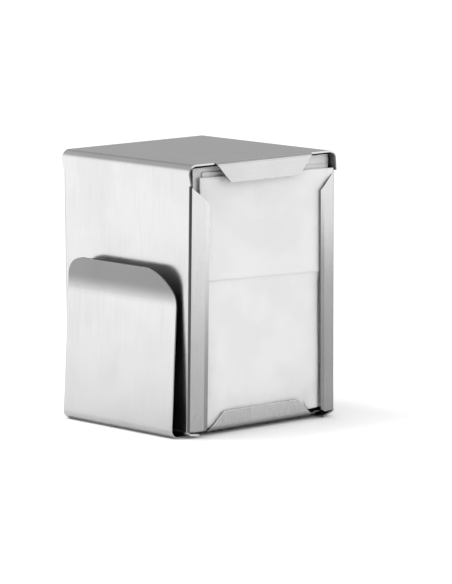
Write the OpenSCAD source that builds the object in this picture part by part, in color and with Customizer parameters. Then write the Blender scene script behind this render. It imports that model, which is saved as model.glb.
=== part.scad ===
// Double-sided counter-top napkin dispenser: a bent steel housing open at the front and the back,
// with a spring-loaded pusher behind each stack of folded napkins and a card clip on its left side.
// +X is to the right, the front opening faces -Y, +Z is up, and the dispenser stands on z = 0.

/* [Body] */
// Width of the body over its side walls
body_w = 92; // [88:1:100]
// Depth of the body over the raw edges of its roof
body_d = 89; // [85:1:100]
// Height from the table to the top of the roof
body_h = 126; // [126:1:135]
// Thickness of the housing's steel sheet
sheet_t = 0.8; // [0.6:0.1:1]
// Outer radius of the bends between roof and walls
roof_bend_r = 4.3; // [3:0.1:6]
// Width of the flange that each wall turns in under the body
foot_flange_w = 7; // [5:0.5:10]

/* [Openings] */
// Width of the flanges that the walls turn in at both openings
side_flange_w = 10.4; // [9:0.1:13]
// Angle by which those flanges flare outward
side_flange_flare = 12; // [6:1:14]
// Width of the roof tab along its lower edge
roof_tab_w = 43; // [36:1:54]
// Drop of the roof tab below the roof
roof_tab_drop = 9.6; // [7:0.2:11]
// How much nearer to the openings the left wall's flanges are than the right wall's
flange_lead = 1.2; // [0:0.1:1.2]
// Width of the base tab along its upper edge
base_tab_w = 46; // [40:1:56]
// Rise of the base tab above the underside of the base plate
base_tab_rise = 9; // [7:0.1:11]

/* [Side clip] */
// Length of the clip along the wall
clip_len = 76; // [60:1:80]
// Height of the clip's upper edge above the table
clip_h = 78.1; // [60:0.1:90]
// Thickness of the clip's sheet
clip_t = 0.7; // [0.5:0.1:0.8]
// Distance from the wall to the clip's outer face at the bottom
clip_gap = 5.7; // [5.5:0.1:8]
// Inward lean of the clip's face
clip_lean = 3.3; // [2:0.1:3.5]
// Outward flare of the clip's lip
clip_flare = 21; // [12:1:26]
// Radius of the clip's rounded upper corners
clip_corner_r = 17; // [8:1:20]

/* [Napkins] */
// Width of a folded napkin
napkin_w = 81.5; // [78:0.5:82]
// Distance of the napkins' middle from the body's, towards the wall on their right
napkin_shift = 3.9; // [0:0.1:4]
// Height of a folded napkin
napkin_h = 114.5; // [110:0.5:114.5]
// Length of the flap folded down over the front of a napkin
flap_drop = 48; // [30:1:60]
// Depth of the stack behind the three foremost napkins
stack_depth = 17; // [10:1:19]

/* [Pushers] */
// Width of a pusher plate
pusher_w = 80; // [70:1:84]
// Height of a pusher plate
pusher_h = 109; // [100:1:112]
// Depth of the rim turned back round a pusher plate
pusher_rim = 5; // [3:0.5:7]
// Outer diameter of the springs
spring_d = 15.8; // [12:0.2:18]
// Diameter of the springs' wire
wire_d = 1.2; // [0.8:0.1:1.6]
// Number of turns in each spring
spring_turns = 7; // [6:1:9]
// Distance between the two springs
spring_gap = 52; // [40:1:60]

/* [Hidden] */
$fn = 64;

// Angle between neighbouring lines across a bend
bend_step = 7.5;

// Levels, from the table up: the clip's tongue, the inner edge of the left foot flange on top of it, the
// foot flanges where they bend into the walls, and the base plate with its raised margins
flange_edge_z = clip_t;
foot_bend_z = 1.3;
base_z = flange_edge_z + sheet_t;
base_margin_z = foot_bend_z + sheet_t;
roof_z = body_h;
inner_r = roof_bend_r - sheet_t;

// Bends and edges of the side flanges
foot_bend_r = 2.5;
foot_mid_r = foot_bend_r - sheet_t / 2;
foot_edge_y = body_d / 2 - 1.5;
side_bend_r = 1.5;
flange_start = body_d / 2 - 2.6;
flange_margin = 2;
margin_bend_r = 2;
flange_foot_z = 3.2;
flange_shoulder_z = roof_z - 9.4;
flange_tip_z = roof_z - 18;
left_flange_corner_r = 1.5;
right_flange_corner_r = 3.5;

// Tabs at the openings
roof_tab_y = body_d / 2 + 1.2;
roof_tab_tilt = 3;
roof_tab_bend_r = 1.5;
roof_tab_slant = 0.92;
base_tab_y = body_d / 2 - 1.6;
base_tab_bend_r = 3;
base_tab_slant = 1.15;
tab_corner_r = 2.5;

// Base plate: its margins step up over the foot flanges, and its ends stand back beside the tabs
base_w = body_w - 5.8;
base_end_y = body_d / 2 - 6;
base_margin = 3.7;
base_step_turn = 30;
base_step_r = 1;

// Side clip, followed along the middle of its sheet from the pocket's floor up to the lip's edge
clip_tongue = 10;
clip_bend_r = 4;
clip_waist_z = 62;
clip_waist_r = 14;
clip_bend_mid_r = clip_bend_r - clip_t / 2;
clip_waist_mid_r = clip_waist_r + clip_t / 2;
clip_face_foot_z = clip_t / 2 + clip_bend_mid_r * (1 + sin(clip_lean));
clip_face_run = (clip_waist_z - clip_face_foot_z) / cos(clip_lean);
clip_lip_foot_z = clip_waist_z + clip_waist_mid_r * (sin(clip_lean) + sin(clip_flare));
clip_lip_run = (clip_h - clip_lip_foot_z - clip_t / 2 * sin(clip_flare)) / cos(clip_flare);

// Pushers, springs and napkins, given for the front and turned half round for the back
pusher_y = 22;
pusher_t = 0.7;
pusher_z = base_margin_z + sheet_t + 0.4;
pusher_bend_r = 1.5;
seat_d = 20;
seat_t = 0.8;
boss_d = 12;
boss_h = 3.4;
rivet_d = 3;
rivet_head_d = 5.4;
rivet_head_h = 1.2;
spring_mid_z = pusher_z + pusher_h / 2;
leaf_t = 0.6;
leaf_pitch = 0.75;
napkin_foot_z = base_z + 3.6;
leaf_step = 1.7;

// The clip's lip is what reaches furthest to the left; the origin is under the middle of the whole
clip_reach = clip_gap - clip_bend_r + clip_bend_mid_r * cos(clip_lean)
    - clip_face_run * sin(clip_lean) + clip_waist_mid_r * (cos(clip_lean) - cos(clip_flare))
    + clip_lip_run * sin(clip_flare) + clip_t / 2 * cos(clip_flare);
body_x = clip_reach / 2;

// Shapes ---------------------------------------------------------------------------------------

// One face of a bent sheet seen on edge, as points. Each leg is [straight run, turn to the left in
// degrees, inner radius of the bend], and face is 1 for the sheet's left face and -1 for its right.
function strip_face(legs, t, face, leg = 0, at = [0, 0], heading = 0) =
    let (
        run = legs[leg][0],
        turn = legs[leg][1],
        way = sign(turn),
        mid_r = legs[leg][2] + t / 2,
        face_r = mid_r - way * face * t / 2,
        to_face = face * t / 2 * [-sin(heading), cos(heading)],
        bend_at = at + run * [cos(heading), sin(heading)],
        centre = bend_at + way * mid_r * [-sin(heading), cos(heading)],
        steps = max(1, round(abs(turn) / bend_step)),
        new_heading = heading + turn
    )
    concat(
        leg == 0 ? [at + to_face] : [],
        turn == 0 ? [bend_at + to_face] : [
            for (step = [0 : steps])
                let (a = heading + turn * step / steps)
                centre + way * face_r * [sin(a), -cos(a)]
        ],
        turn == 0 ? [] : strip_face(legs, t, face, leg + 1,
            centre + way * mid_r * [sin(new_heading), -cos(new_heading)], new_heading)
    );

function reversed(points) = [for (i = [len(points) - 1 : -1 : 0]) points[i]];

// The bent sheet itself, t thick
module bent_strip(legs, t, heading = 0) {
    polygon(concat(
        strip_face(legs, t, 1, heading = heading),
        reversed(strip_face(legs, t, -1, heading = heading))
    ));
}

// A tab seen from the front, standing on its root line: slanted ends, and rounded corners at its tip.
// The slant is how far the ends run inward for each millimetre of height.
module tab_outline(tip_w, height, slant) {
    turn = atan(1 / slant);
    corner_x = tip_w / 2 - tab_corner_r * tan(turn / 2);
    root_x = tip_w / 2 + height * slant;
    steps = round(turn / bend_step);
    corner = [
        for (step = [0 : steps])
            let (a = turn * (1 - step / steps))
            [corner_x + tab_corner_r * sin(a), height - tab_corner_r * (1 - cos(a))]
    ];
    polygon(concat(
        [[root_x, -1], [root_x, 0]],
        corner,
        [for (point = reversed(corner)) [-point[0], point[1]]],
        [[-root_x, 0], [-root_x, -1]]
    ));
}

// Draws a flat (x, z) shape upright and gives it a length along Y, centred
module along_y(length) {
    rotate([90, 0, 0])
        linear_extrude(height = length, center = true)
            children();
}

// Draws a flat (y, z) shape upright and gives it a length along X, centred
module along_x(length) {
    rotate([90, 0, 90])
        linear_extrude(height = length, center = true)
            children();
}

// The shape and its mirror image in Y, for the two openings
module both_openings() {
    for (back = [0, 1])
        mirror([0, back, 0])
            children();
}

// A piece that belongs to the back pusher is the front one turned half round
module turned(to_back) {
    translate([body_x, 0, 0])
        rotate(to_back ? 180 : 0)
            children();
}

// Housing --------------------------------------------------------------------------------------

// A foot flange slopes down to its inner edge, which lies at edge_z. Its slope, its straight run and
// the level where the wall above its bend becomes upright follow from that.
function foot_slope(edge_z) = asin((foot_bend_z - edge_z) / (foot_flange_w - foot_bend_r));

function foot_run(slope) =
    (foot_flange_w - sheet_t / 2 * (1 - sin(slope)) - foot_mid_r * (1 - sin(slope))) / cos(slope);

function wall_foot_z(edge_z) =
    let (slope = foot_slope(edge_z))
    edge_z + foot_bend_r * cos(slope) + foot_run(slope) * sin(slope);

// The inverted U of wall, roof and wall, with the foot flanges. The left one lies on the clip's tongue
// and the right one slopes down to the table, so that the dispenser stands level.
module housing_wrap() {
    left_slope = foot_slope(flange_edge_z);
    right_slope = foot_slope(0);
    wall_top_z = roof_z - roof_bend_r;
    along_y(body_d)
        translate([
            body_w / 2 - foot_flange_w - sheet_t / 2 * sin(right_slope),
            sheet_t / 2 * cos(right_slope)
        ])
            bent_strip([
                [foot_run(right_slope), 90 - right_slope, foot_bend_r - sheet_t],
                [wall_top_z - wall_foot_z(0), 90, inner_r],
                [body_w - 2 * roof_bend_r, 90, inner_r],
                [wall_top_z - wall_foot_z(flange_edge_z), 90 - left_slope, foot_bend_r - sheet_t],
                [foot_run(left_slope), 0, 0]
            ], sheet_t, right_slope);
}

// Everything in front of the flange bend is cut away, but for the corner above the flange's shoulder
module wall_relief(lead) {
    depth = body_d / 2 - flange_start + 1;
    translate([-body_w / 2 - 1, -flange_start - lead - depth, flange_foot_z])
        cube([foot_flange_w + 2, depth, flange_shoulder_z - flange_foot_z]);
    translate([-body_w / 2 - 1, -foot_edge_y - depth, -1])
        cube([foot_flange_w + 2, depth, flange_foot_z + 1.5]);
}

// The front left flange in plan: a bend, the flared face and a flat margin along its inner edge
module side_flange_plan() {
    bend_mid_r = side_bend_r - sheet_t / 2;
    flared = 90 - side_flange_flare;
    face_run = (side_flange_w - sheet_t / 2 - flange_margin - bend_mid_r * (1 - cos(flared))
        - (margin_bend_r + sheet_t / 2) * sin(side_flange_flare)) / cos(side_flange_flare);
    overlap = 1;
    translate([-body_w / 2 + sheet_t / 2, -flange_start + overlap])
        rotate(-90)
            bent_strip([
                [overlap, flared, side_bend_r - sheet_t],
                [face_run, side_flange_flare, margin_bend_r],
                [flange_margin, 0, 0]
            ], sheet_t);
}

// The same flange seen from the front: a sloping top edge and a rounded lower inner corner
module side_flange_face(corner_r) {
    slope = (flange_shoulder_z - flange_tip_z) / side_flange_w;
    difference() {
        polygon([
            [-1, flange_foot_z],
            [side_flange_w + 1, flange_foot_z],
            [side_flange_w + 1, flange_tip_z - slope],
            [0, flange_shoulder_z],
            [-1, flange_shoulder_z]
        ]);
        translate([side_flange_w - corner_r, flange_foot_z])
            difference() {
                translate([0, -1])
                    square([corner_r + 2, corner_r + 1]);
                translate([0, corner_r])
                    circle(corner_r);
            }
    }
}

module side_flange(lead, corner_r) {
    translate([0, -lead, 0])
        intersection() {
            linear_extrude(height = roof_z)
                side_flange_plan();
            translate([-body_w / 2, -flange_start, 0])
                along_y(20)
                    side_flange_face(corner_r);
        }
}

// The tab that hangs from the roof's front edge
module roof_tab() {
    root = 3;
    intersection() {
        along_x(body_w)
            translate([-roof_tab_y + roof_tab_bend_r + root, roof_z - sheet_t / 2])
                rotate(180)
                    bent_strip([
                        [root, 90 - roof_tab_tilt, roof_tab_bend_r - sheet_t],
                        [roof_tab_drop, 0, 0]
                    ], sheet_t);
        along_y(2 * body_d)
            translate([0, roof_z])
                mirror([0, 1])
                    tab_outline(roof_tab_w, roof_tab_drop, roof_tab_slant);
    }
}

module body_shell() {
    color([0.78, 0.78, 0.8])
        translate([body_x, 0, 0]) {
            difference() {
                housing_wrap();
                both_openings() {
                    wall_relief(flange_lead);
                    mirror([1, 0, 0])
                        wall_relief(0);
                }
            }
            both_openings() {
                side_flange(flange_lead, left_flange_corner_r);
                mirror([1, 0, 0])
                    side_flange(0, right_flange_corner_r);
                roof_tab();
            }
        }
}

// The tab that stands up from the base plate's front edge
module base_tab() {
    bend_y = base_tab_y - base_tab_bend_r;
    root = bend_y - base_end_y + 1;
    intersection() {
        along_x(body_w)
            translate([-bend_y + root, base_z + sheet_t / 2])
                rotate(180)
                    bent_strip([
                        [root, -90, base_tab_bend_r - sheet_t],
                        [base_tab_rise, 0, 0]
                    ], sheet_t);
        along_y(2 * body_d)
            translate([0, base_z])
                tab_outline(base_tab_w, base_tab_rise, base_tab_slant);
    }
}

module base_plate() {
    mid_r = base_step_r + sheet_t / 2;
    step_run = (base_margin_z - base_z - 2 * mid_r * (1 - cos(base_step_turn))) / sin(base_step_turn);
    step_w = 2 * mid_r * sin(base_step_turn) + step_run * cos(base_step_turn);
    flat_w = base_w - 2 * base_margin - 2 * step_w;
    color([0.66, 0.66, 0.68])
        translate([body_x, 0, 0]) {
            along_y(2 * base_end_y)
                translate([-base_w / 2, base_margin_z + sheet_t / 2])
                    bent_strip([
                        [base_margin, -base_step_turn, base_step_r],
                        [step_run, base_step_turn, base_step_r],
                        [flat_w, base_step_turn, base_step_r],
                        [step_run, -base_step_turn, base_step_r],
                        [base_margin, 0, 0]
                    ], sheet_t);
            both_openings()
                base_tab();
        }
}

// Side clip ------------------------------------------------------------------------------------

// The clip seen along the wall: a tongue under the base, a bend, the leaning face and the flared lip
module clip_profile() {
    translate([-body_w / 2 + clip_tongue, clip_t / 2])
        rotate(180)
            bent_strip([
                [clip_tongue + clip_gap - clip_bend_r, -90 - clip_lean, clip_bend_r - clip_t],
                [clip_face_run, clip_lean + clip_flare, clip_waist_r],
                [clip_lip_run, 0, 0]
            ], clip_t);
}

// The clip's face seen from the side, with rounded upper corners
module clip_outline() {
    translate([-clip_len / 2, -1])
        square([clip_len, clip_h - clip_corner_r + 1]);
    translate([-clip_len / 2 + clip_corner_r, 0])
        square([clip_len - 2 * clip_corner_r, clip_h + 1]);
    for (end = [-1, 1])
        translate([end * (clip_len / 2 - clip_corner_r), clip_h - clip_corner_r])
            circle(clip_corner_r);
}

module side_clip() {
    color([0.85, 0.85, 0.86])
        translate([body_x, 0, 0])
            intersection() {
                along_y(clip_len + 2)
                    clip_profile();
                translate([-body_w / 2, 0, 0])
                    along_x(4 * clip_tongue)
                        clip_outline();
            }
}

// Pushers and springs --------------------------------------------------------------------------

// A flat plate with a rim turned back towards the middle of the dispenser on all four sides
module pusher_plate(to_back) {
    flat_w = pusher_w - 2 * pusher_bend_r;
    flat_h = pusher_h - 2 * pusher_bend_r;
    rim_run = pusher_rim - pusher_bend_r;
    bend = [rim_run, -90, pusher_bend_r - pusher_t];
    color([0.6, 0.6, 0.62])
        turned(to_back)
            difference() {
                union() {
                    translate([0, 0, pusher_z + pusher_bend_r])
                        linear_extrude(height = flat_h)
                            translate([pusher_w / 2 - pusher_t / 2, -pusher_y + pusher_rim])
                                rotate(-90)
                                    bent_strip([bend, [flat_w, -90, bend[2]], [rim_run, 0, 0]], pusher_t);
                    along_x(flat_w)
                        translate([-pusher_y + pusher_rim, pusher_z + pusher_t / 2])
                            rotate(180)
                                bent_strip([bend, [flat_h, -90, bend[2]], [rim_run, 0, 0]], pusher_t);
                }
                for (up = [-1, 1])
                    translate([0, -pusher_y, spring_mid_z + up * spring_gap / 2])
                        rotate([90, 0, 0])
                            cylinder(h = 4, d = rivet_d, center = true);
            }
}

// A stamped seat: a washer with a raised boss that the end of the spring fits over
module spring_seat(to_back, up) {
    color([0.72, 0.7, 0.62])
        turned(to_back)
            translate([0, -pusher_y + pusher_t, spring_mid_z + up * spring_gap / 2])
                rotate([-90, 0, 0])
                    difference() {
                        union() {
                            cylinder(h = seat_t, d = seat_d);
                            cylinder(h = boss_h, d = boss_d);
                        }
                        translate([0, 0, seat_t])
                            cylinder(h = boss_h, d = boss_d - 2 * seat_t);
                        translate([0, 0, -1])
                            cylinder(h = boss_h, d = rivet_d);
                    }
}

// A rivet, flush with the plate's outer face, with its head inside the seat's boss
module seat_rivet(to_back, up) {
    color([0.8, 0.8, 0.8])
        turned(to_back)
            translate([0, -pusher_y, spring_mid_z + up * spring_gap / 2])
                rotate([-90, 0, 0]) {
                    cylinder(h = pusher_t + seat_t, d = rivet_d);
                    translate([0, 0, pusher_t + seat_t])
                        cylinder(h = rivet_head_h, d = rivet_head_d);
                }
}

// Coil spring between the two plates: closed turns at the ends and an even pitch between them
spring_half = pusher_y - pusher_t - seat_t - wire_d / 2;
end_pitch = wire_d * 1.15;
mid_pitch = (2 * spring_half - 2 * end_pitch) / (spring_turns - 2);
turn_steps = 16;
wire_sides = 8;
rings = spring_turns * turn_steps;

function spring_y(turn) =
    turn < 1 ? -spring_half + turn * end_pitch
    : turn > spring_turns - 1 ? spring_half - (spring_turns - turn) * end_pitch
    : -spring_half + end_pitch + (turn - 1) * mid_pitch;

function wire_point(ring, corner) =
    let (
        turn = ring / turn_steps,
        a = 360 * turn,
        b = 360 * corner / wire_sides,
        r = (spring_d - wire_d) / 2 + wire_d / 2 * cos(b)
    )
    [r * cos(a), spring_y(turn) + wire_d / 2 * sin(b), r * sin(a)];

module coil_spring(up) {
    points = [for (ring = [0 : rings], corner = [0 : wire_sides - 1]) wire_point(ring, corner)];
    sides = [
        for (ring = [0 : rings - 1], corner = [0 : wire_sides - 1])
            let (
                next = (corner + 1) % wire_sides,
                here = ring * wire_sides,
                there = here + wire_sides
            )
            [here + corner, there + corner, there + next, here + next]
    ];
    first_cap = [for (corner = [0 : wire_sides - 1]) corner];
    last_cap = [for (corner = [wire_sides - 1 : -1 : 0]) rings * wire_sides + corner];
    color([0.5, 0.5, 0.52])
        translate([body_x, 0, spring_mid_z + up * spring_gap / 2])
            polyhedron(points = points, faces = concat(sides, [first_cap, last_cap]), convexity = 10);
}

// Napkins --------------------------------------------------------------------------------------

// The block of folded napkins between the pusher and the foremost ones
module napkin_stack(to_back) {
    color([0.95, 0.95, 0.95])
        turned(to_back)
            translate([napkin_shift - napkin_w / 2, -pusher_y - stack_depth, napkin_foot_z])
                cube([napkin_w, stack_depth, napkin_h + 2 * leaf_step]);
}

// A single folded napkin in front of the stack. Each one nearer the opening stands a step lower.
module napkin_leaf(to_back, place) {
    rise = (3 - place) * leaf_step / 2;
    color([0.98, 0.98, 0.98])
        turned(to_back)
            translate([
                napkin_shift - napkin_w / 2,
                -pusher_y - stack_depth - place * leaf_pitch,
                napkin_foot_z + rise
            ])
                cube([napkin_w, leaf_t, napkin_h + rise]);
}

// The foremost napkin, with its flap folded down over its face
module leading_napkin(to_back) {
    color([1, 1, 1])
        turned(to_back)
            translate([
                napkin_shift - napkin_w / 2,
                -pusher_y - stack_depth - 3 * leaf_pitch,
                napkin_foot_z
            ]) {
                cube([napkin_w, leaf_t, napkin_h]);
                translate([0, -leaf_t, napkin_h - flap_drop])
                    cube([napkin_w, leaf_t, flap_drop]);
            }
}

body_shell();
base_plate();
side_clip();
pusher_plate(false);  // front_pusher_plate
spring_seat(false, 1);  // front_upper_seat
spring_seat(false, -1);  // front_lower_seat
seat_rivet(false, 1);  // front_upper_rivet
seat_rivet(false, -1);  // front_lower_rivet
napkin_stack(false);  // front_napkin_stack
napkin_leaf(false, 1);  // front_napkin_third
napkin_leaf(false, 2);  // front_napkin_second
leading_napkin(false);  // front_napkin_first
pusher_plate(true);  // back_pusher_plate
spring_seat(true, 1);  // back_upper_seat
spring_seat(true, -1);  // back_lower_seat
seat_rivet(true, 1);  // back_upper_rivet
seat_rivet(true, -1);  // back_lower_rivet
napkin_stack(true);  // back_napkin_stack
napkin_leaf(true, 1);  // back_napkin_third
napkin_leaf(true, 2);  // back_napkin_second
leading_napkin(true);  // back_napkin_first
coil_spring(1);  // upper_spring
coil_spring(-1);  // lower_spring
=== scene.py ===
"""The looks of the napkin dispenser: satin steel sheets, springs and folded paper napkins."""

import math
import bmesh
import bpy
from mathutils import Matrix, Vector, noise


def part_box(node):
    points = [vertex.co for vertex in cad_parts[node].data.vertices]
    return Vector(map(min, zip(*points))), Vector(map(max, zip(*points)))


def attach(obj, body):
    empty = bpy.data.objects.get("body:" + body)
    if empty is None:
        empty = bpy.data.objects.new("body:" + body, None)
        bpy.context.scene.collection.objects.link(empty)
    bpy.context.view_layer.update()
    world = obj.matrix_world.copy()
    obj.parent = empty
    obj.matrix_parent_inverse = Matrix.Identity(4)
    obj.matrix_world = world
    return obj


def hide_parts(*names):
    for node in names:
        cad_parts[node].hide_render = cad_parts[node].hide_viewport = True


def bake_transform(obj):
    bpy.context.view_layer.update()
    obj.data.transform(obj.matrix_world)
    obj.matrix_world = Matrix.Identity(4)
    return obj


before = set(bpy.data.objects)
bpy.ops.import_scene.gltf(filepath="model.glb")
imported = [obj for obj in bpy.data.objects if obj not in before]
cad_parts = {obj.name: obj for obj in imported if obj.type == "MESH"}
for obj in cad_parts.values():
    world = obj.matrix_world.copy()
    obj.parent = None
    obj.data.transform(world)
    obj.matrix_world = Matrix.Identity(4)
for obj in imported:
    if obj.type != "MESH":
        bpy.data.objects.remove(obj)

MM = 0.001
STEEL = (0.42, 0.42, 0.42)
EDGE_ROUNDING = 0.13 * MM

# The housing's materials, one for each kind of face; several are copies of one steel with painted
# shade or painted light
(
    WALL, LEFT_FLANGE, RIGHT_FLANGE, TAB, BEND, LEFT_MARGIN, RIGHT_MARGIN, INSIDE, RAW_END
) = range(9)

# The flanges stay where they are at this height, in millimetres, and lean by so much per millimetre
STILL_HEIGHT = 60
RIGHT_BOW = 0.007
FRONT_LEFT_TILT = 0.02
BACK_LEFT_TILT = 0.01
BACK_LEFT_INSET = 1.6

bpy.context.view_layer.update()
scene = bpy.context.scene

# The body's middle lies beside the origin, because the card clip makes the whole wider on its left
BODY_X = sum(corner.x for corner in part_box("base_plate")) / 2


# Materials ------------------------------------------------------------------------------------


def add_node(tree, kind, links, settings):
    """links gives the node's inputs by name or number, as values or as other nodes' outputs."""
    node = tree.nodes.new(kind)
    for key, value in settings.items():
        setattr(node, key, value)
    for key, value in (links or {}).items():
        if isinstance(value, bpy.types.NodeSocket):
            tree.links.new(value, node.inputs[key])
        else:
            node.inputs[key].default_value = value
    return node


class Shader:
    """A new material and short ways to add nodes to it."""

    def __init__(self, name, sockets):
        self.material = bpy.data.materials.new(name)
        self.material.use_nodes = True
        self.tree = self.material.node_tree
        self.surface = self.tree.nodes["Principled BSDF"]
        for socket, value in sockets.items():
            self.surface.inputs[socket].default_value = value

    def node(self, kind, links=None, **settings):
        return add_node(self.tree, kind, links, settings)

    def link(self, output, socket):
        self.tree.links.new(output, self.surface.inputs[socket])

    def place(self):
        return self.node("ShaderNodeTexCoord").outputs["Object"]

    def noise(self, scale, detail=2, stretch=(1, 1, 1)):
        """Noise with a scale per metre, stretched along the axes that have a small factor."""
        where = self.node("ShaderNodeMapping", {"Vector": self.place(), "Scale": stretch})
        return self.node(
            "ShaderNodeTexNoise",
            {"Vector": where.outputs[0], "Scale": scale, "Detail": detail},
        ).outputs["Fac"]

    def spread(self, value, low, high, start=0, end=1):
        """The value's range from start to end, spread over low to high."""
        return self.node(
            "ShaderNodeMapRange",
            {"Value": value, "From Min": start, "From Max": end, "To Min": low, "To Max": high},
            interpolation_type="SMOOTHSTEP",
        ).outputs[0]

    def math(self, operation, a, b):
        return self.node("ShaderNodeMath", {0: a, 1: b}, operation=operation).outputs[0]

    def mix(self, factor, a, b, blend="MIX"):
        """A colour between the colours a and b."""
        colours = {0: factor, 6: a, 7: b}
        return self.node("ShaderNodeMix", colours, data_type="RGBA", blend_type=blend).outputs[2]

    def bump(self, height, distance, strength=1.0, under=None):
        links = {"Height": height, "Distance": distance, "Strength": strength}
        if under is not None:
            links["Normal"] = under
        return self.node("ShaderNodeBump", links).outputs[0]


ACROSS_Y = (0.02, 1, 0.02)
ACROSS_XY = (1, 1, 0.02)
ACROSS_Z = (0.02, 0.02, 1)


def brushed_steel(name, tint, roughness, grain, relief=1.0, fade=None):
    """Satin steel, whose brushing runs along the axes where grain is small.

    fade gives an axis, two places along it and a factor, which darkens the tint from the first
    place to the second as painted shade.
    """
    steel = Shader(name, {"Metallic": 1.0})
    fine = steel.noise(5200, 2, grain)
    broad = steel.noise(2600, 3, grain)
    smear = steel.noise(38, 4)
    scratches = steel.spread(steel.noise(1500, 1, grain), 0, 1, 0.66, 0.74)
    streaks = steel.spread(broad, 0.975, 1.025, 0.3, 0.7)
    shade = steel.math("ADD", streaks, steel.spread(smear, -0.035, 0.035, 0.3, 0.7))
    # painted shade: the tint darkens along the fade's axis
    if fade:
        axis, start, end, factor = fade
        along = steel.node("ShaderNodeSeparateXYZ", {0: steel.place()}).outputs[axis]
        if start < end:
            painted_shade = steel.spread(along, 1, factor, start, end)
        else:
            painted_shade = steel.spread(along, factor, 1, end, start)
        shade = steel.math("MULTIPLY", shade, painted_shade)
    steel.link(steel.mix(1.0, (*tint, 1), shade, "MULTIPLY"), "Base Color")
    streaked = steel.spread(broad, roughness - 0.012, roughness + 0.012, 0.3, 0.7)
    handled = steel.spread(smear, 0, 0.05, 0.5, 0.75)
    steel.link(steel.math("ADD", streaked, handled), "Roughness")
    waves = steel.bump(steel.noise(22, 1), 0.0005, 0.3)
    lines = steel.bump(fine, 0.000012, 0.2 * relief, waves)
    steel.link(steel.bump(scratches, 0.00001, 0.07 * relief, lines), "Normal")
    return steel.material


def flange_finish(name, start, end, factor, shade=0.42):
    """The steel of the flanges, painted darker from one height to another as painted shade."""
    tint = (shade, shade, shade)
    return brushed_steel(name, tint, 0.27, ACROSS_XY, relief=0.1, fade=("Z", start, end, factor))


def cut_edge(name, tint):
    """The sheared edge of a steel sheet and its rounded edges: smoother than its faces, and painted
    much brighter as a painted highlight.
    """
    edge = Shader(name, {"Metallic": 1.0})
    nicks = edge.noise(900, 3)
    edge.link(edge.spread(nicks, 0.16, 0.34, 0.3, 0.7), "Roughness")
    worn = edge.spread(nicks, 0, 1, 0.35, 0.65)
    edge.link(edge.mix(worn, (*tint, 1), (*(0.8 * c for c in tint), 1)), "Base Color")
    edge.link(edge.bump(nicks, 0.00002, 0.5), "Normal")
    return edge.material


def tissue_paper(name, middle_x, border_x, border_w):
    """White embossed tissue, ribbed on a border of width border_w inside border_x on both sides."""
    paper = Shader(name, {"Roughness": 0.88, "Sheen Weight": 0.15})
    fibres = paper.noise(2600, 4)
    clouds = paper.noise(55, 3)
    cloudy = paper.spread(clouds, 0, 1, 0.35, 0.65)
    paper.link(paper.mix(cloudy, (0.715, 0.715, 0.717, 1), (0.755, 0.755, 0.757, 1)), "Base Color")
    axes = paper.node("ShaderNodeSeparateXYZ", {0: paper.place()})
    from_middle = paper.math("ABSOLUTE", paper.math("SUBTRACT", axes.outputs["X"], middle_x), 0)
    rib_pitch = 0.0012
    per_metre = 2 * math.pi / rib_pitch
    ribs = paper.math("SINE", paper.math("MULTIPLY", from_middle, per_metre), 0)
    border = paper.spread(from_middle, 0, 1, border_x - border_w, border_x - border_w * 0.6)
    pimples = paper.math("SINE", paper.math("MULTIPLY", axes.outputs["Z"], per_metre), 0)
    pattern = paper.math("ADD", ribs, paper.math("MULTIPLY", pimples, 0.35))
    ribbed = paper.math("MULTIPLY", pattern, border)
    soft = paper.bump(clouds, 0.0006, 0.3)
    embossed = paper.bump(ribbed, 0.00005, 0.5, soft)
    paper.link(paper.bump(fibres, 0.00006, 0.45, embossed), "Normal")
    return paper.material


# Steel pieces ---------------------------------------------------------------------------------


def piece(name, mesh, body, materials):
    """A new object that shows the mesh, rides on the body if one is given, and has these materials."""
    made = bpy.data.objects.new(name, mesh)
    scene.collection.objects.link(made)
    for material in materials:
        mesh.materials.append(material)
    if body:
        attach(made, body)
    return made


def sheet_metal(name, node, body, faces, edge, grain_of=None, reshape=None):
    """The CAD sheet with smooth bends and fine rounded edges. grain_of picks a face's material and
    reshape moves a vertex a little."""
    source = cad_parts[node].data
    shape = bmesh.new()
    shape.from_mesh(source)
    bmesh.ops.remove_doubles(shape, verts=shape.verts, dist=2e-6)
    bmesh.ops.dissolve_limit(
        shape, angle_limit=math.radians(0.2), verts=shape.verts, edges=shape.edges
    )
    for face in shape.faces:
        face.smooth = True
        face.material_index = grain_of(face) if grain_of else 0
    for vertex in shape.verts if reshape else []:
        vertex.co = reshape(vertex.co)
    mesh = bpy.data.meshes.new(name)
    shape.to_mesh(mesh)
    shape.free()
    made = piece(name, mesh, body, [*faces, edge])
    mesh.set_sharp_from_angle(angle=math.radians(32))
    bevel = made.modifiers.new("edges", "BEVEL")
    bevel.width = EDGE_ROUNDING
    bevel.segments = 2
    bevel.limit_method = "ANGLE"
    bevel.angle_limit = math.radians(40)
    bevel.material = len(faces)
    normals = made.modifiers.new("normals", "WEIGHTED_NORMAL")
    normals.keep_sharp = True
    normals.weight = 90
    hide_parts(node)
    return made


def shell_grain(face):
    """Which of the housing's materials a face has. The upright bends and the inward faces are painted
    dark as painted shade.
    """
    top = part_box("body_shell")[1].z
    middle = face.calc_center_median()
    across = middle.x - BODY_X
    towards_opening = abs(face.normal.y)
    faces_inward = face.normal.x * across < -15 * MM or face.normal.z < -0.3
    # painted shade: faces turned inward get the steel painted dark
    if towards_opening < 0.1 and faces_inward and middle.z > 9 * MM:
        return INSIDE
    if towards_opening > 0.99 and middle.z > top - 3 * MM:
        return RAW_END
    if abs(across) < 32 * MM and middle.z > top - 11 * MM and towards_opening > 0.6:
        return TAB
    upright = abs(face.normal.z) < 0.1
    if 0.25 < towards_opening < 0.96 and upright and face.calc_area() < 200 * MM**2:
        return BEND
    if towards_opening > 0.985 and abs(across) < 38 * MM:
        return LEFT_MARGIN if across < 0 else RIGHT_MARGIN
    if towards_opening > 0.6:
        return LEFT_FLANGE if across < 0 else RIGHT_FLANGE
    return WALL


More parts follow.
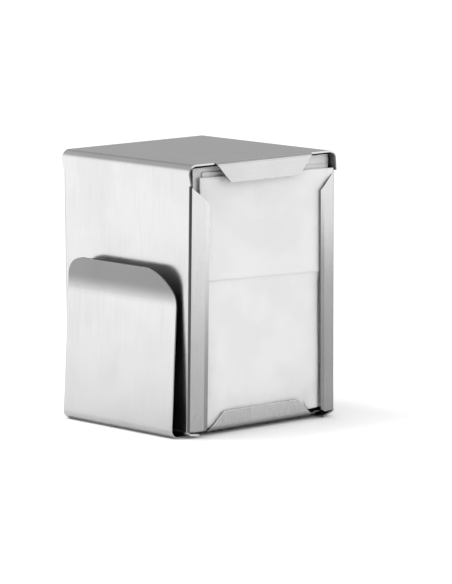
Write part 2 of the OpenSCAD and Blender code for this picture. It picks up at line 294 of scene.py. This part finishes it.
def lean_flange(point):
    """The left flanges are tipped a little, the back one is set further in, and the right ones bow
    outward at both ends."""
    beside, height = point.x - BODY_X, point.z / MM
    if abs(beside) < 35 * MM or abs(point.y) < 41.5 * MM or not 2.5 < height < 118:
        return point
    above = height - STILL_HEIGHT
    if beside > 0:
        return point + Vector((0, math.copysign(RIGHT_BOW * above * MM, point.y), 0))
    if point.y < 0:
        return point - Vector((0, FRONT_LEFT_TILT * above * MM, 0))
    return point + Vector((0, (BACK_LEFT_TILT * above - BACK_LEFT_INSET) * MM, 0))


def clip_grain(face):
    """1 on the side towards the wall, which gets the steel painted dark as painted shade, and 0
    elsewhere.
    """
    return 1 if face.normal.x > 0.3 else 0


# Springs --------------------------------------------------------------------------------------


def half_spring(name, node, body, wire, material):
    """Half of a coil spring, from the middle plane to one pusher."""
    low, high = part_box(node)
    centre = (low + high) / 2
    way = -1 if body.startswith("front") else 1
    reach = high.y - wire / 2
    coil_r = (high.x - low.x - wire) / 2
    turns, steps, sides = 3.5, 40, 12
    closed_pitch = 1.12 * wire
    open_pitch = (reach - closed_pitch) / (turns - 1)

    def along(turn):
        return turn * open_pitch if turn < turns - 1 else reach - (turns - turn) * closed_pitch

    shape = bmesh.new()
    rings = []
    count = int(turns * steps)
    for ring in range(count + 1):
        turn = turns * ring / count
        angle = 2 * math.pi * turn * way + math.pi / 2
        spoke = Vector((math.cos(angle), 0, math.sin(angle)))
        middle = Vector((centre.x, way * along(turn), centre.z)) + coil_r * spoke
        rings.append(
            [
                shape.verts.new(
                    middle
                    + wire / 2 * math.cos(2 * math.pi * side / sides) * spoke
                    + wire / 2 * math.sin(2 * math.pi * side / sides) * Vector((0, way, 0))
                )
                for side in range(sides)
            ]
        )
    for here, there in zip(rings, rings[1:]):
        for side in range(sides):
            after = (side + 1) % sides
            shape.faces.new((here[side], there[side], there[after], here[after]))
    shape.faces.new(reversed(rings[0]))
    shape.faces.new(rings[-1])
    bmesh.ops.recalc_face_normals(shape, faces=shape.faces)
    for face in shape.faces:
        face.smooth = len(face.verts) == 4
    mesh = bpy.data.meshes.new(name)
    shape.to_mesh(mesh)
    shape.free()
    made = piece(name, mesh, None, [material])
    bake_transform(made)
    return made


# Napkins --------------------------------------------------------------------------------------


class Fold:
    """A napkin folded in half sideways and then over its top edge, in millimetres.

    x runs to the right of the body's middle, y forward is negative and z is up. bottom, top and flap
    are functions of x, inner_right, the free edge of the inner ply, is one of z, and lean of both.
    """

    def __init__(
        self, left, right, y, bottom, top, flap, ply_gap, fold_gap, lean, inner_right=None
    ):
        self.left = left
        self.right = right
        self.y = y
        self.bottom = bottom
        self.top = top
        self.flap = flap
        self.ply_gap = ply_gap
        self.fold_gap = fold_gap
        self.lean = lean
        self.inner_right = inner_right or (lambda z: right)

    def plies(self, columns, round_steps):
        """Pairs of place across, 0 at the right and 1 at the left, and angle round the side fold."""
        outer = [(column / columns, 0) for column in range(columns)]
        turn = [(1, math.pi * step / round_steps) for step in range(round_steps + 1)]
        inner = [(1 - column / columns, math.pi) for column in range(1, columns + 1)]
        return outer + turn + inner

    def point(self, place, side_angle, stage, t):
        """A point on the ply. stage is body, fold or flap, and t runs from 0 to 1 along it."""
        h, gap = self.ply_gap / 2, self.fold_gap / 2
        offset = h * math.cos(side_angle)
        inner = side_angle > math.pi / 2
        angle = {"body": 0, "fold": math.pi * t, "flap": math.pi}[stage]
        x = self.right + (self.left + h - self.right) * place - h * math.sin(side_angle)
        crest = self.top(x) - gap - h
        if stage == "body":
            z = self.bottom(x) + (crest - self.bottom(x)) * t
        elif stage == "flap":
            z = crest - (self.flap(x) - gap) * t
        else:
            z = crest
        if inner and stage != "fold":
            edge = self.inner_right(z)
            x = min(x, edge) if place > 0 else edge
            x = edge + (self.left + h - edge) * place if place < 1 else x
        radius = gap + offset
        y = self.y + radius * math.cos(angle)
        z += radius * math.sin(angle)
        return Vector((x, y + self.lean(x, z), z))

    def add_to(self, shape, columns, rows, flap_rows, turned):
        stages = [("body", row / rows) for row in range(rows)]
        stages += [("fold", step / 4) for step in range(5)]
        stages += [("flap", (row + 1) / flap_rows) for row in range(flap_rows)]
        grid = []
        for place, side_angle in self.plies(columns, 4):
            line = []
            for stage, t in stages:
                p = self.point(place, side_angle, stage, t) * MM
                p = Vector((-p.x, -p.y, p.z)) if turned else p
                line.append(shape.verts.new(p + Vector((BODY_X, 0, 0))))
            grid.append(line)
        for here, there in zip(grid, grid[1:]):
            for low, high in zip(range(len(stages) - 1), range(1, len(stages))):
                shape.faces.new((here[low], here[high], there[high], there[low]))


def napkin_piece(name, node, folds, side, material, ply, detail):
    """One object made of one or more folded napkins, in place of a CAD node."""
    shape = bmesh.new()
    for fold in folds:
        fold.add_to(shape, *detail, turned=side == "back")
    for face in shape.faces:
        face.smooth = True
    bmesh.ops.recalc_face_normals(shape, faces=shape.faces)
    mesh = bpy.data.meshes.new(name)
    shape.to_mesh(mesh)
    shape.free()
    made = piece(name, mesh, side + "_pusher", [material])
    thick = made.modifiers.new("ply", "SOLIDIFY")
    thick.thickness = ply
    thick.offset = 0
    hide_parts(node)
    return made


def wobble(seed, u, v=0):
    """Smooth noise from -1 to 1, the same on every run."""
    return noise.noise(Vector((seed * 7.31, u, v)))


def rise(value, start, end):
    """0 before start and 1 after end, smoothly between."""
    t = min(max((value - start) / (end - start), 0), 1)
    return t * t * (3 - 2 * t)


def local_box(node):
    """A front node's box in millimetres, with x from the body's middle."""
    return [(corner - Vector((BODY_X, 0, 0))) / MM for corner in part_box(node)]


def leading_fold(seed, pressed):
    """The foremost napkin: a little skewed, with a wavy free edge and a curled corner. Its right side
    is pressed forward by so many millimetres."""
    low, high = local_box("front_napkin_first")
    slant = 0.021
    edge_x = 35.9

    def top(x):
        return high.z - 0.2 - slant * (x - low.x) + 0.12 * wobble(seed, x / 9)

    def bottom(x):
        corner_r = 5
        past = min(max(0, x - (edge_x - corner_r)), corner_r) if x < edge_x + 0.1 else 0
        return low.z - 1.9 + 0.028 * (x - low.x) + corner_r - math.sqrt(corner_r**2 - past**2)

    def flap(x):
        return 47.8 + 0.006 * (x - low.x) + 0.15 * wobble(seed + 1, x / 7)

    def inner_right(z):
        opened = edge_x + 0.35 * wobble(seed + 2, z / 8) + 0.2 * wobble(seed + 3, z / 2.5)
        return opened + (high.x - 1 - opened) * rise(z, 66, 72)

    def lean(x, z):
        bulge = -0.9 * math.exp(-(((z - 27) / 13) ** 2)) * rise(40 - abs(x), 0, 16)
        curl = -2.3 * rise(x, 36, 47) * rise(z, 109, 119)
        clear_of_tab = max(rise(z, 9, 22), rise(x, 26, 32))
        press = -pressed * rise(x, -10, 34) * clear_of_tab + 0.1 * pressed * max(0, x - 37.5)
        kink = -0.45 * rise(z, 13.5, 17.5) * (1 - rise(z, 18, 40)) * rise(34 - abs(x + 2), 0, 8)
        creases = 0.16 * wobble(seed + 4, x / 11, z / 70) + 0.1 * wobble(seed + 5, x / 26, z / 24)
        return bulge + curl + press + kink + creases

    return Fold(
        low.x,
        high.x,
        (low.y + high.y) / 2,
        bottom,
        top,
        flap,
        ply_gap=0.26,
        fold_gap=0.6,
        lean=lean,
        inner_right=inner_right,
    )


def following_fold(seed, left, right, y, bottom, top_left, top_right, pressed=0):
    """A napkin further back, of which little more than its top edge shows."""

    def top(x):
        slope = (top_right - top_left) / (right - left)
        return top_left + slope * (x - left) + 0.15 * wobble(seed, x / 8)

    return Fold(
        left,
        right,
        y,
        lambda x: bottom + 0.2 * wobble(seed + 1, x / 9),
        top,
        lambda x: 48 + 0.4 * wobble(seed + 2, x / 9),
        ply_gap=0.16,
        fold_gap=0.34,
        lean=lambda x, z: 0.05 * wobble(seed + 3, x / 12, z / 60) - pressed * rise(x, 0, 34),
    )


def napkins(side, seed, paper):
    """The leading napkin, the two behind it and the pile, on one side."""
    ply = 0.1 * MM
    press = 2 if side == "front" else 0
    first = napkin_piece(
        side + "_leading_napkin",
        side + "_napkin_first",
        [leading_fold(seed, press)],
        side,
        paper,
        0.14 * MM,
        (64, 72, 40),
    )
    followers = {"second": (2.6, 1.3, 1.9, 1.5), "third": (-2.5, 0.2, 4.0, 6.0)}
    for place, (inset_left, inset_right, rise_left, rise_right) in followers.items():
        low, high = local_box("front_napkin_" + place)
        leaf = following_fold(
            seed + 10 + len(place),
            low.x + inset_left,
            high.x - inset_right,
            (low.y + high.y) / 2,
            low.z,
            119.6 + rise_left,
            118.0 + rise_right,
            press / 2,
        )
        name, node = side + "_" + place + "_napkin", side + "_napkin_" + place
        napkin_piece(name, node, [leaf], side, paper, ply, (28, 24, 8))
    low, high = local_box("front_napkin_stack")
    count = 22
    pitch = (high.y - low.y) / count
    pile = []
    for leaf in range(count):
        level = high.z - 0.9 + 0.7 * wobble(seed + 30, leaf * 1.7)
        shift = 0.35 * wobble(seed + 31, leaf * 1.3)
        pile.append(
            following_fold(
                seed + 40 + leaf,
                low.x + 0.4 + shift,
                high.x - 0.4 + shift,
                low.y + pitch * (leaf + 0.5),
                low.z + 0.4 * wobble(seed + 32, leaf * 1.1),
                level,
                level + 0.5 * wobble(seed + 33, leaf * 2.1),
            )
        )
    napkin_piece(
        side + "_napkin_pile", side + "_napkin_stack", pile, side, paper, ply, (10, 6, 3)
    )


# Studio ---------------------------------------------------------------------------------------


def set_camera():
    """A long lens a little above the table, at the dispenser's front left corner."""
    azimuth, elevation, roll = (math.radians(a) for a in (-42.256, 8.35, -0.154))
    distance = 2.0215
    level = math.cos(elevation)
    back = Vector((math.sin(azimuth) * level, -math.cos(azimuth) * level, math.sin(elevation)))
    right = (-back).cross(Vector((0, 0, 1))).normalized()
    up = right.cross(-back)
    aim = Vector((0, 0, 0.062)) + 0.01514 * right - 0.00279 * up
    turned_right = math.cos(roll) * right + math.sin(roll) * up
    turned_up = math.cos(roll) * up - math.sin(roll) * right
    data = bpy.data.cameras.new("camera")
    data.lens = 266.12
    data.sensor_width = 36
    data.clip_end = 20
    camera = bpy.data.objects.new("camera", data)
    scene.collection.objects.link(camera)
    place = Matrix((turned_right, turned_up, back)).transposed().to_4x4()
    place.translation = aim + distance * back
    camera.matrix_world = place
    scene.camera = camera


def set_world():
    """A white studio for the eye, with soft bright and dark fields for the steel to mirror."""
    world = bpy.data.worlds.new("studio")
    scene.world = world
    world.use_nodes = True
    tree = world.node_tree
    tree.nodes.clear()

    def node(kind, links=None, **settings):
        return add_node(tree, kind, links, settings)

    direction = node("ShaderNodeTexCoord").outputs["Generated"]
    # each field: heading and height in degrees, inner and outer angle, and change in light
    fields = [
        (132, -6, 16, 46, 1.2),
        (-50, -6, 26, 50, 1.15),
        (-132, 0, 12, 36, -0.7),
        (48, 8, 24, 50, -0.3),
    ]
    level = 0.84
    light = node("ShaderNodeValue").outputs[0]
    light.default_value = level
    for heading, height, inner, outer, change in fields:
        h, e = math.radians(heading), math.radians(height)
        axis = (math.cos(h) * math.cos(e), math.sin(h) * math.cos(e), math.sin(e))
        along = node(
            "ShaderNodeVectorMath", {0: direction, 1: axis}, operation="DOT_PRODUCT"
        ).outputs["Value"]
        field = node(
            "ShaderNodeMapRange",
            {
                "Value": along,
                "From Min": math.cos(math.radians(outer)),
                "From Max": math.cos(math.radians(inner)),
                "To Min": 0,
                "To Max": change,
            },
            interpolation_type="SMOOTHSTEP",
        ).outputs[0]
        light = node("ShaderNodeMath", {0: light, 1: field}, operation="ADD").outputs[0]
    seen = node("ShaderNodeLightPath").outputs["Is Camera Ray"]
    strength = node("ShaderNodeMix", {0: seen, 2: light, 3: 1.1}).outputs[0]
    background = node("ShaderNodeBackground", {"Color": (1, 1, 1, 1), "Strength": strength})
    output = node("ShaderNodeOutputWorld")
    tree.links.new(background.outputs[0], output.inputs[0])
    scene.view_settings.view_transform = "Standard"


def set_lights():
    """Two round softboxes that face down: one overhead, one over the table behind the clip's wall."""
    for name, place, size, energy, spread in (
        ("overhead_softbox", (0, 0.1, 1.5), 1.4, 7, 180),
        ("table_softbox", (-0.22, 0.22, 0.9), 0.3, 0.75, 60),
    ):
        data = bpy.data.lights.new(name, "AREA")
        data.shape = "DISK"
        data.size = size
        data.energy = energy
        data.spread = math.radians(spread)
        lamp = bpy.data.objects.new(name, data)
        lamp.location = place
        lamp.visible_camera = False
        scene.collection.objects.link(lamp)


def set_floor():
    """A round pale table top."""
    shape = bmesh.new()
    bmesh.ops.create_circle(shape, cap_ends=True, radius=0.5, segments=96)
    mesh = bpy.data.meshes.new("table")
    shape.to_mesh(mesh)
    shape.free()
    table = bpy.data.objects.new("table", mesh)
    scene.collection.objects.link(table)
    pale = Shader("pale_table", {"Roughness": 0.9, "Base Color": (0.96, 0.96, 0.96, 1)})
    grain = pale.noise(400, 2)
    pale.link(pale.bump(grain, 0.0001, 0.05), "Normal")
    mesh.materials.append(pale.material)


# Making ---------------------------------------------------------------------------------------

set_camera()
set_world()
set_lights()
set_floor()

# painted highlight: every cut and rounded sheet edge is painted bright
edge = cut_edge("edge_painted_highlight", (0.88, 0.88, 0.88))
wall_steel = brushed_steel("brushed_steel_wall", STEEL, 0.21, ACROSS_Y)
# painted shade: the clip is painted darker from 59 mm up to its lip
clip_steel = brushed_steel("brushed_steel_clip", STEEL, 0.22, ACROSS_Y, fade=("Z", 0.059, 0.07, 0.45))


# painted shade: each flange, margin and the base is painted darker towards its bottom; painted light:
# the left flange and its margin get a lighter tint than the right ones
flange_steel = flange_finish("brushed_steel_flange", 0.08, 0.01, 0.7, 0.47)
right_steel = flange_finish("brushed_steel_right_flange", 0.108, 0.06, 0.64)
margin_steel = flange_finish("brushed_steel_margin", 0.09, 0.02, 0.47, 0.48)
far_margin_steel = flange_finish("brushed_steel_far_margin", 0.115, 0.07, 0.5)
base_steel = flange_finish("brushed_steel_base", 0.004, 0.0015, 0.5)
# painted shade: the roof tab is a copy of the steel painted a little darker
tab_steel = brushed_steel("brushed_steel_tab", (0.38, 0.38, 0.38), 0.27, ACROSS_Z, relief=0.1)
# painted shade: the sheet ends at the top are painted darker below 124 mm
end_steel = brushed_steel("sheared_steel_end", STEEL, 0.3, ACROSS_XY, fade=("Z", 0.1252, 0.124, 0.25))
dull_steel = brushed_steel("brushed_steel_pusher", (0.42, 0.42, 0.43), 0.34, ACROSS_XY)

# painted shade: the upright bends are painted nearly black
bend_steel = brushed_steel("bend_steel_painted_shade", (0.11, 0.11, 0.11), 0.3, ACROSS_XY)
# painted shade: the inward faces of the housing and the clip's side towards the wall are painted dark
inner_steel = brushed_steel("inside_steel_painted_shade", (0.2, 0.2, 0.2), 0.36, ACROSS_Y)
steels = {
    WALL: wall_steel,
    LEFT_FLANGE: flange_steel,
    RIGHT_FLANGE: right_steel,
    TAB: tab_steel,
    BEND: bend_steel,
    LEFT_MARGIN: margin_steel,
    RIGHT_MARGIN: far_margin_steel,
    INSIDE: inner_steel,
    RAW_END: end_steel,
}
shell_steels = [steels[kind] for kind in sorted(steels)]
sheet_metal("housing_skin", "body_shell", "housing", shell_steels, edge, shell_grain, lean_flange)
sheet_metal("base_skin", "base_plate", "housing", [base_steel], edge)
sheet_metal("clip_skin", "side_clip", "housing", [clip_steel, inner_steel], edge, clip_grain)
for side in ("front", "back"):
    plate, body = side + "_pusher_plate", side + "_pusher"
    sheet_metal(plate + "_skin", plate, body, [dull_steel], edge)

seat_metal = brushed_steel("zinc_plated_seat", (0.5, 0.49, 0.45), 0.36, (1, 1, 1))
rivet_metal = brushed_steel("aluminium_rivet", (0.7, 0.7, 0.71), 0.3, (1, 1, 1))
spring_metal = brushed_steel("spring_wire", (0.36, 0.36, 0.37), 0.3, ACROSS_Y)
for name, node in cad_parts.items():
    if name.endswith(("_seat", "_rivet")):
        node.material_slots[0].material = seat_metal if name.endswith("_seat") else rivet_metal
for place in ("upper", "lower"):
    spring = place + "_spring"
    halves = [
        half_spring(side + "_half_of_" + spring, spring, side + "_pusher", 1.2 * MM, spring_metal)
        for side in ("front", "back")
    ]
    for half in halves:
        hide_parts(spring)

for side, seed in (("front", 1), ("back", 101)):
    low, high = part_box(side + "_napkin_first")
    middle_x = (low.x + high.x) / 2
    napkins(side, seed, tissue_paper(side + "_tissue_paper", middle_x, 41 * MM, 15 * MM))
